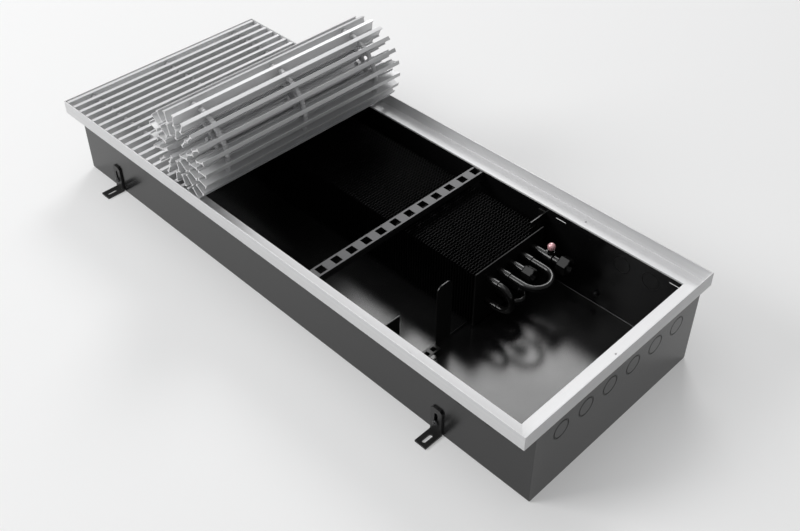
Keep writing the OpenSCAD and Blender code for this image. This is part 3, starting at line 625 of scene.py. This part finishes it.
slat_finishes = [FINISH["slat_metal"], FINISH["sleeve_metal"]]
end_sleeves = join_shells([sleeve_shell(y, end_at=END_SET_BACK - FLANGE_W / 2) for y in SPACER_ROWS])
end_slat = join_shells([slat, end_sleeves])
laid = [stand(one, last_laid - [i * PITCH, 0], 0) for i in range(LAID)]
laid.append(stand(end_slat, last_laid - [LAID * PITCH, 0], 0))
end_which = [0] * len(slat[1]) + [1] * len(end_sleeves[1])
piece = make_piece("laid_slats", join_shells(laid), slat_finishes, "laid_grille",
                   one_which * LAID + end_which)
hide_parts("laid_grille")
for n, (middle, angle) in enumerate(zip(rolled_middle, tilt), start=1):
    name = f"slat_{n}"
    piece = make_piece(name + "_drawn", stand(one, middle, angle), slat_finishes, home[name], one_which)
    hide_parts(name)
    reach = np.array([v.co for v in piece.data.vertices]).max(0)
    gap = np.abs(np.array(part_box(name)[1]) - reach).max()
    if gap > CLOSE_ENOUGH * MM:
        print(name, "stands", round(gap / MM, 2), "mm off its solid")

# %% [markdown]
# ## The fins
# Wavy fins stir the air between them. Each fin is a thin sheet that swings to and fro along the
# trough as one goes across it. Seen from above, the waves make the pack look like a field of dots.
# The waves could be a bump in the material, but they are a millimetre deep and show at the edges, so
# they are real.

# %% Wavy fins
FIN_COUNT, FIN_T, FIN_WAVES, FIN_SWING, FIN_STEPS = 129, 0.35, 20, 0.85, 80
fin_low, fin_high = (np.array(corner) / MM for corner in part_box("fin_pack"))


def wavy_fins():
    """Fin i stands at an even step along the pack. At the share s of its width its sheet lies
    swing * sin(2 pi * waves * s) off that place, and its two faces half a thickness on either side."""
    room = FIN_SWING + FIN_T / 2
    base = np.linspace(fin_low[0] + room, fin_high[0] - room, FIN_COUNT)
    share = np.linspace(0, 1, FIN_STEPS + 1)
    swing = FIN_SWING * np.sin(2 * math.pi * FIN_WAVES * share)
    shape = (FIN_COUNT, 2, 2, FIN_STEPS + 1)
    face = np.array([-FIN_T / 2, FIN_T / 2])
    x = np.broadcast_to(base[:, None, None, None] + face[:, None] + swing, shape)
    y = np.broadcast_to(fin_low[1] + share * (fin_high[1] - fin_low[1]), shape)
    z = np.broadcast_to(np.array([fin_low[2], fin_high[2]])[:, None, None], shape)
    points = np.stack([x, y, z], axis=-1)
    ring = np.concatenate([points[:, :, 0], points[:, :, 1, ::-1]], axis=2)
    side = grid_faces(2, ring.shape[2], close_columns=True)
    k, last, wide = np.arange(FIN_STEPS), ring.shape[2] - 1, ring.shape[2]
    edge = np.stack([k, k + 1, last - k - 1, last - k], axis=1)
    one_fin = np.concatenate([side, edge, edge + wide])
    starts = np.arange(FIN_COUNT) * 2 * wide
    return ring.reshape(-1, 3), (one_fin[None] + starts[:, None, None]).reshape(-1, 4)


TUBE_Y, TUBE_Z, LOW_Z, COLLAR_R, COLLAR_IN = 30.0 + 25.0 * np.arange(5), 84.0, 40.7, 5.4, 0.5
collars = [turned([fin_low[0] + COLLAR_IN, fin_high[0] - COLLAR_IN], [COLLAR_R] * 2, 16, at=(0, y, z))
           for z, row in ((TUBE_Z, TUBE_Y), (LOW_Z, TUBE_Y[:3])) for y in row]
piece = make_piece("wavy_fins", join_shells([wavy_fins()] + collars), [FINISH["fin_lacquer"]])
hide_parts("fin_pack")
print("fins:", len(piece.data.polygons), "faces")

# %% [markdown]
# ## Nuts
# A union nut is a hexagon bar, turned to a cone at both ends, and threaded inside. The cone meets
# the flats in curved lines. That shape needs no cutting: the radius in each direction is simply the
# smaller of the hexagon's and the cone's. A thread is a radius that rises and falls once for each
# pitch, and shifts by one pitch in a full turn.

# %% Nut surface
CONE_ANGLE, CONE_SHARE, NUT_CHAMFER = math.radians(30), 0.955, 0.4


def hexagon_radius(across_flats, angle):
    """Distance of a hexagon's side from its middle: the flat's distance over the cosine of the angle
    from that flat's middle. Corners lie at angle 0."""
    return across_flats / 2 / np.cos((angle % (math.pi / 3)) - math.pi / 6)


def nut_shell(start, length, across_flats, bore, thread=None, wall=0.0, sides=72, axis=(1, 0, 0),
              at=(0, 0, 0)):
    """A nut along an axis. Outside, the radius is the smaller of the hexagon's and of a cone of 30
    degrees at either end. Inside comes a bore, and past the back wall a thread: the crest falls by
    its depth and rises again once for each pitch."""
    angle = np.arange(sides) * 2 * math.pi / sides
    flats = hexagon_radius(across_flats, angle)
    outer = np.linspace(0, length, 15)
    from_end = np.minimum(outer, length - outer)[:, None]
    cone = across_flats / 2 * CONE_SHARE + from_end / math.tan(CONE_ANGLE)
    shape = np.minimum(flats[None], cone)
    along, radius = [outer[:, None] + 0 * flats], [shape]
    if thread:
        pitch, depth, crest = thread
        inner = np.arange(length, wall, -pitch / 4)[:, None]
        phase = ((inner / pitch + angle / (2 * math.pi)) % 1)
        radius.append(crest - depth * 2 * np.abs(phase - 0.5))
        along.append(inner + 0 * angle)
        inner, hole = [wall, 0.0], [bore, bore]
    else:
        inner = [length, length - NUT_CHAMFER, NUT_CHAMFER, 0.0]
        hole = [bore + NUT_CHAMFER, bore, bore, bore + NUT_CHAMFER]
    along.append(np.array(inner)[:, None] + 0 * angle)
    radius.append(np.array(hole)[:, None] + 0 * angle)
    return turned(np.concatenate(along) + start, np.concatenate(radius), sides, axis=axis, at=at, closed=True)


THREAD_PITCH, THREAD_DEPTH, BACK_BORE_R, BACK_WALL = 1.34, 0.8, 6.05, 5.0


def measured_nut(node, thread_r):
    """A union nut in the place and size of its solid. The thread's crest stays at thread_r."""
    low, high = (np.array(corner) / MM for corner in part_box(node))
    middle = (low + high) / 2
    return nut_shell(low[0], high[0] - low[0], high[1] - low[1], BACK_BORE_R,
                     thread=(THREAD_PITCH, THREAD_DEPTH, thread_r + THREAD_DEPTH), wall=BACK_WALL,
                     at=(0, middle[1], middle[2]))


# %% Union nuts
for node, thread_r in (("return_nut", 7.2), ("supply_nut", 9.3)):
    piece = make_piece(node + "_turned", measured_nut(node, thread_r), [FINISH["pipe_lacquer"]], node,
                       sharp=35)
    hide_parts(node)
    print(piece.name, [round(v / MM, 1) for v in piece.dimensions])

# %% [markdown]
# ## Foot screws
# A pan head screw with a cross recess holds each foot, and a small nut sits on the inside. The head
# is a height over a disc: a dome, minus a cross that is deepest in the middle. So it is one grid in
# polar coordinates.

# %% Pan heads and nuts
HEAD_RINGS, HEAD_SIDES = 22, 64


def pan_head(radius, height, recess):
    """Height over the disc: a dome that follows the root of 1 - (r / R)^3, minus the recess times
    two shares. One is 1 inside the cross's arms, and the other falls with the distance from the
    middle."""
    r = np.concatenate([np.linspace(0.02, 1, HEAD_RINGS) * radius, [radius]])[:, None]
    angle = np.arange(HEAD_SIDES)[None] * 2 * math.pi / HEAD_SIDES
    x, y = r * np.cos(angle), r * np.sin(angle)
    arm = np.clip((0.16 * radius - np.minimum(np.abs(x), np.abs(y))) / (0.08 * radius), 0, 1)
    near = np.clip((0.62 * radius - r) / (0.35 * radius), 0, 1)
    dome = height * (0.55 + 0.45 * np.sqrt(np.clip(1 - (r / radius) ** 3, 0, 1))) - recess * arm * near
    dome[-1] = 0
    return dome, r + 0 * angle


screw_high = np.array(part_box("foot_screws")[1]) / MM
FOOT_X, SCREW_Z, WALL_Y = (340.0, -411.5), 22.0, 173.5
HEAD_R, HEAD_H, RECESS, SHANK_R, NUT_AF, NUT_H, PAST_NUT = 4.75, 3.0, 1.5, 2.5, 8.0, 4.0, 1.0
head_from, shank_from = screw_high[1] - HEAD_H, WALL_Y - NUT_H - PAST_NUT
shells = []
for side in (-1, 1):
    for x in FOOT_X:
        height, radius = pan_head(HEAD_R, HEAD_H, RECESS)
        shells.append(turned(height, radius, HEAD_SIDES, axis=(0, side, 0),
                             at=(x, side * head_from, SCREW_Z)))
        shells.append(turned(np.array([shank_from, shank_from + 0.4, head_from + 0.2]),
                             np.array([SHANK_R - 0.4, SHANK_R, SHANK_R]), 20, axis=(0, side, 0),
                             at=(x, 0, SCREW_Z)))
        shells.append(nut_shell(WALL_Y - NUT_H, NUT_H, NUT_AF, SHANK_R, sides=36, axis=(0, side, 0),
                                at=(x, 0, SCREW_Z)))
piece = make_piece("foot_screws_turned", join_shells(shells), [FINISH["screw_zinc"]], sharp=35)
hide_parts("foot_screws")
print("foot screws:", len(piece.data.polygons), "faces")

# %% [markdown]
# ## Webs in the knock-outs
# No light comes through the cut round a knock-out, as when the die stops short and leaves a thin web
# of sheet. The solids are cut right through. Each web is a flat ring, halfway through the sheet, and
# a ring is a small closed profile turned round the knock-out's own axis.

# %% Knock-out webs
WALL, SIDE_WALL_Y, KNOCKOUT_PITCH, END_ROW_HALF, FIRST_KNOCKOUT_IN = 1.5, 175.0, 50, 125, 75.0
KNOCKOUT_R, KNOCKOUT_Z, WEB_HALF, WEB_HALF_T = 14.0, 101.0, 0.55, 0.25


def knockout_web(axis, at):
    """The profile is a flat rectangle that is a little wider than the cut, turned round `axis`."""
    along = WEB_HALF_T * np.array([-1, 1, 1, -1])
    radius = KNOCKOUT_R + WEB_HALF * np.array([-1, -1, 1, 1])
    return turned(along, radius, 64, axis=axis, at=at, closed=True)


end_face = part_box("end_wall_near")[1][0] / MM
end_middle, side_middle = end_face - WALL / 2, SIDE_WALL_Y - WALL / 2
webs = [knockout_web((1, 0, 0), (x, y, KNOCKOUT_Z)) for x in (end_middle, -end_middle)
        for y in range(-END_ROW_HALF, END_ROW_HALF + 1, KNOCKOUT_PITCH)]
webs += [knockout_web((0, 1, 0), (end_face - FIRST_KNOCKOUT_IN - i * KNOCKOUT_PITCH, side_middle, KNOCKOUT_Z))
         for i in (0, 1)]
make_piece("knockout_webs", join_shells(webs), [FINISH["bracket_coat"]])
print("knock-out webs:", len(webs), "end wall's face at", round(end_face, 2))

# %% [markdown]
# ## The vent's cap
# The air vent ends in a small red cap that is turned by hand. It is nearly a ball. Round its waist
# it has shallow flutes for the fingers, and its underside is flat, with a hole for the neck.

# %% Cap
CAP_SIDES, FLUTES, FLUTE_DEPTH, NECK_HOLE_R, NECK_HOLE_H = 72, 12, 0.45, 3.05, 4.0


def vent_cap():
    """Radius at the height angle v and the turn w: the ball's cos(v), less a flute's depth times
    (1 - cos(flutes w)) / 2 times a bell that is 1 at the waist and fades towards the top."""
    low, high = (np.array(corner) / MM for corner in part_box("vent_cap"))
    middle, ball = (low + high) / 2, (high[0] - low[0]) / 2
    centre_z = high[2] - ball
    v = np.linspace(math.asin((low[2] - centre_z) / ball), math.radians(88.5), 26)[:, None]
    w = np.arange(CAP_SIDES)[None] * 2 * math.pi / CAP_SIDES
    flute = FLUTE_DEPTH * (1 - np.cos(FLUTES * w)) / 2 * np.exp(-((v - 0.05) / 0.42) ** 2)
    radius = ball * np.cos(v) - flute
    height = centre_z + ball * np.sin(v) + 0 * w
    neck = np.full((2, CAP_SIDES), NECK_HOLE_R)
    hole = np.stack([np.full(CAP_SIDES, height[0, 0] + NECK_HOLE_H), np.full(CAP_SIDES, height[0, 0])])
    return turned(np.concatenate([hole, height]), np.concatenate([neck, radius]), CAP_SIDES,
                  axis=(0, 0, 1), at=(middle[0], middle[1], 0))


piece = make_piece("vent_cap_moulded", vent_cap(), [FINISH["cap_plastic"]], "vent_cap")
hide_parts("vent_cap")

# %% [markdown]
# ## Brazed joints
# Where a bend's socket ends, a ring of braze runs up the tube. It is a small hollow curve between
# the socket's edge and the tube, turned round the tube.

# %% Braze rings
SOCKET_R, TUBE_R, SOCKET_END, BRAZE_L, IN_SOCKET, IN_TUBE = 6.3, 5.0, 21.0, 1.6, 0.3, 0.4
near_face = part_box("end_plates")[1][0] / MM
far_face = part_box("end_plates")[0][0] / MM


def braze_ring(face, direction, y, z):
    """The ring's radius falls from the socket's to the tube's along a quarter circle that is hollow
    outwards."""
    k = np.linspace(0, math.pi / 2, 5)
    start, end = SOCKET_END - IN_SOCKET, SOCKET_END + BRAZE_L
    along = np.concatenate([start + (end - start) * (1 - np.cos(k)), [end, start]])
    radius = np.concatenate([SOCKET_R - (SOCKET_R - TUBE_R) * np.sin(k), [TUBE_R - IN_TUBE] * 2])
    return turned(along, radius, 28, axis=(direction, 0, 0), at=(face, y, z), closed=True)


near_sockets = [(55, 84), (105, 84), (30, 84), (30, 40.7), (55, 40.7), (80, 40.7)]
far_sockets = [(130, 84), (105, 84), (55, 84), (30, 84), (30, 40.7), (55, 40.7), (80, 40.7), (80, 84)]
rings = [braze_ring(near_face, 1, y, z) for y, z in near_sockets]
rings += [braze_ring(far_face, -1, y, z) for y, z in far_sockets]
make_piece("braze_rings", join_shells(rings), [FINISH["pipe_lacquer"]])
print("braze rings:", len(rings))

# %% [markdown]
# ## Floor, light and camera
# The heater is shown on a plain pale floor in soft light. A large panel hangs over it, a second one
# stands behind it on the left, whose reflection is the sheen on the trough's floor, and a third one
# stands in front on the left. The world fills the shadows. The camera stands where the photograph's
# perspective puts it.

# %% Floor
FLOOR_REACH, FLOOR_PALE, FLOOR_GLOW = 30.0, 0.64, 0.26


def stage_floor():
    """A floor that runs on far past the camera's view. The share of its paleness that lamps and
    shadows don't change is a glow that only the camera and mirror-like faces see."""
    mesh = bpy.data.meshes.new("floor")
    corners = [(FLOOR_REACH * x, FLOOR_REACH * y, 0) for x, y in ((-1, -1), (1, -1), (1, 1), (-1, 1))]
    mesh.from_pydata(corners, [], [(0, 1, 2, 3)])
    finish, tree, shader = start_finish("floor_paint")
    shader.inputs["Base Color"].default_value = (FLOOR_PALE, FLOOR_PALE, FLOOR_PALE, 1)
    shader.inputs["Roughness"].default_value = 0.9
    shader.inputs["Emission Color"].default_value = (1, 1, 1, 1)
    rays = add(tree, "LightPath").outputs
    seen = calculate(tree, "MAXIMUM", rays["Is Camera Ray"], rays["Is Glossy Ray"])
    tree.links.new(calculate(tree, "MULTIPLY", seen, FLOOR_GLOW), shader.inputs["Emission Strength"])
    mesh.materials.append(finish)
    floor = bpy.data.objects.new("floor", mesh)
    bpy.context.scene.collection.objects.link(floor)


stage_floor()


# %% Light
def softbox(name, place, aim, width, height, power):
    """A rectangular lamp at `place` that faces `aim`, both in metres."""
    lamp = bpy.data.lights.new(name, "AREA")
    lamp.shape, lamp.size, lamp.size_y, lamp.energy = "RECTANGLE", width, height, power
    box = bpy.data.objects.new(name, lamp)
    box.location = place
    box.rotation_mode = "QUATERNION"
    box.rotation_quaternion = (Vector(aim) - Vector(place)).to_track_quat("-Z", "Y")
    bpy.context.scene.collection.objects.link(box)


softbox("overhead", (-0.9, -0.7, 4.6), (0, 0, 0), 4.6, 3.9, 68)
softbox("behind_left", (-2.14, 3.12, 3.6), (0.1, 0, 0), 1.8, 1.9, 84)
softbox("front_left", (-2.8, -3.4, 2.8), (0, 0, 0), 2.4, 2.0, 140)
world = bpy.data.worlds.new("studio")
bpy.context.scene.world = world
world.use_nodes = True
sky = world.node_tree.nodes["Background"]
sky.inputs["Color"].default_value = (0.93, 0.94, 0.95, 1)
sky.inputs["Strength"].default_value = 0.24

# %% Camera
FOCAL_PX, IMAGE_W, SHIFT_PX = 1043.9, 800, -35.5
CAMERA_AT, AZIMUTH, ELEVATION = (0.9385, -0.8438, 1.1124), 45.0, 40.21
lens = bpy.data.cameras.new("camera")
lens.lens = FOCAL_PX / IMAGE_W * lens.sensor_width
lens.shift_y = SHIFT_PX / IMAGE_W
camera = bpy.data.objects.new("camera", lens)
bpy.context.scene.collection.objects.link(camera)
a, e = math.radians(AZIMUTH), math.radians(ELEVATION)
back = Vector((math.sin(a) * math.cos(e), -math.cos(a) * math.cos(e), math.sin(e)))
camera.location = CAMERA_AT
camera.rotation_mode = "QUATERNION"
camera.rotation_quaternion = (-back).to_track_quat("-Z", "Y")
bpy.context.scene.camera = camera
bpy.context.scene.view_settings.view_transform = "Standard"
